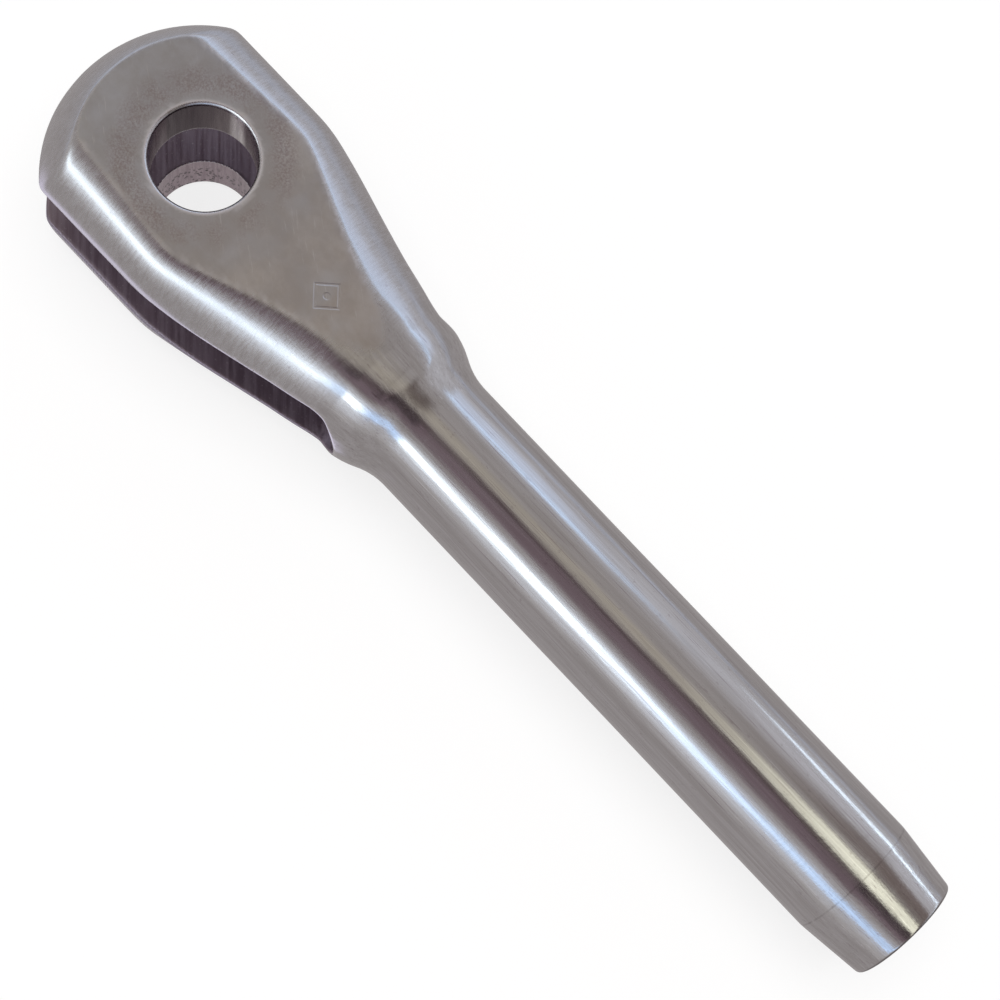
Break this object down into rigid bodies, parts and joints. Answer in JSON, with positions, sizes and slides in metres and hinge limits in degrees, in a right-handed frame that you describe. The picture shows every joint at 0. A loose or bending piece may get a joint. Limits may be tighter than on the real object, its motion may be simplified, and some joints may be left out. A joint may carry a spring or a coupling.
{
  "type": "swage fork terminal",
  "caption": "Forked end fitting that is swaged onto wire rope and takes a clevis pin through its two ears.",
  "frame": {"origin": "centre of the clevis hole, midway between the two ears", "axes": "+X along the shank towards the wire end, +Z along the clevis hole, +Y across the head"},
  "size_m": [0.1346, 0.0298, 0.0264],
  "materials": {
    "stainless_steel": "polished"
  },
  "bodies": {
    "root": {"fork_terminal": "stainless_steel"}
  },
  "joints": []
}
